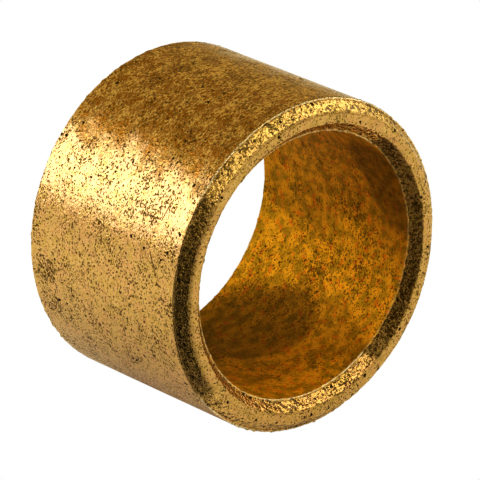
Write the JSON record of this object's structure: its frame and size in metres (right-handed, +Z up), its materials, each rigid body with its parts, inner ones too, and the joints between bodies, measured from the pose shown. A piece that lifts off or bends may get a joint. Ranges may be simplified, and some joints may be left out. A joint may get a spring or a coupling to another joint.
{
  "type": "sleeve bushing",
  "caption": "Plain cylindrical sleeve bushing of oil-filled sintered bronze: a short thin-walled ring, chamfered at both ends, that carries a turning shaft in its bore.",
  "frame": {"origin": "middle of the bore, half way between the two end faces", "axes": "bore axis along Y, a shaft turns about it; +Z up, with the bushing lying on its round side"},
  "size_m": [0.0158, 0.0112, 0.0158],
  "materials": {
    "sintered_bronze": "porous sintered bronze with a satin sheen, darker in the pores"
  },
  "bodies": {
    "root": {"sleeve": "sintered_bronze"}
  },
  "joints": []
}
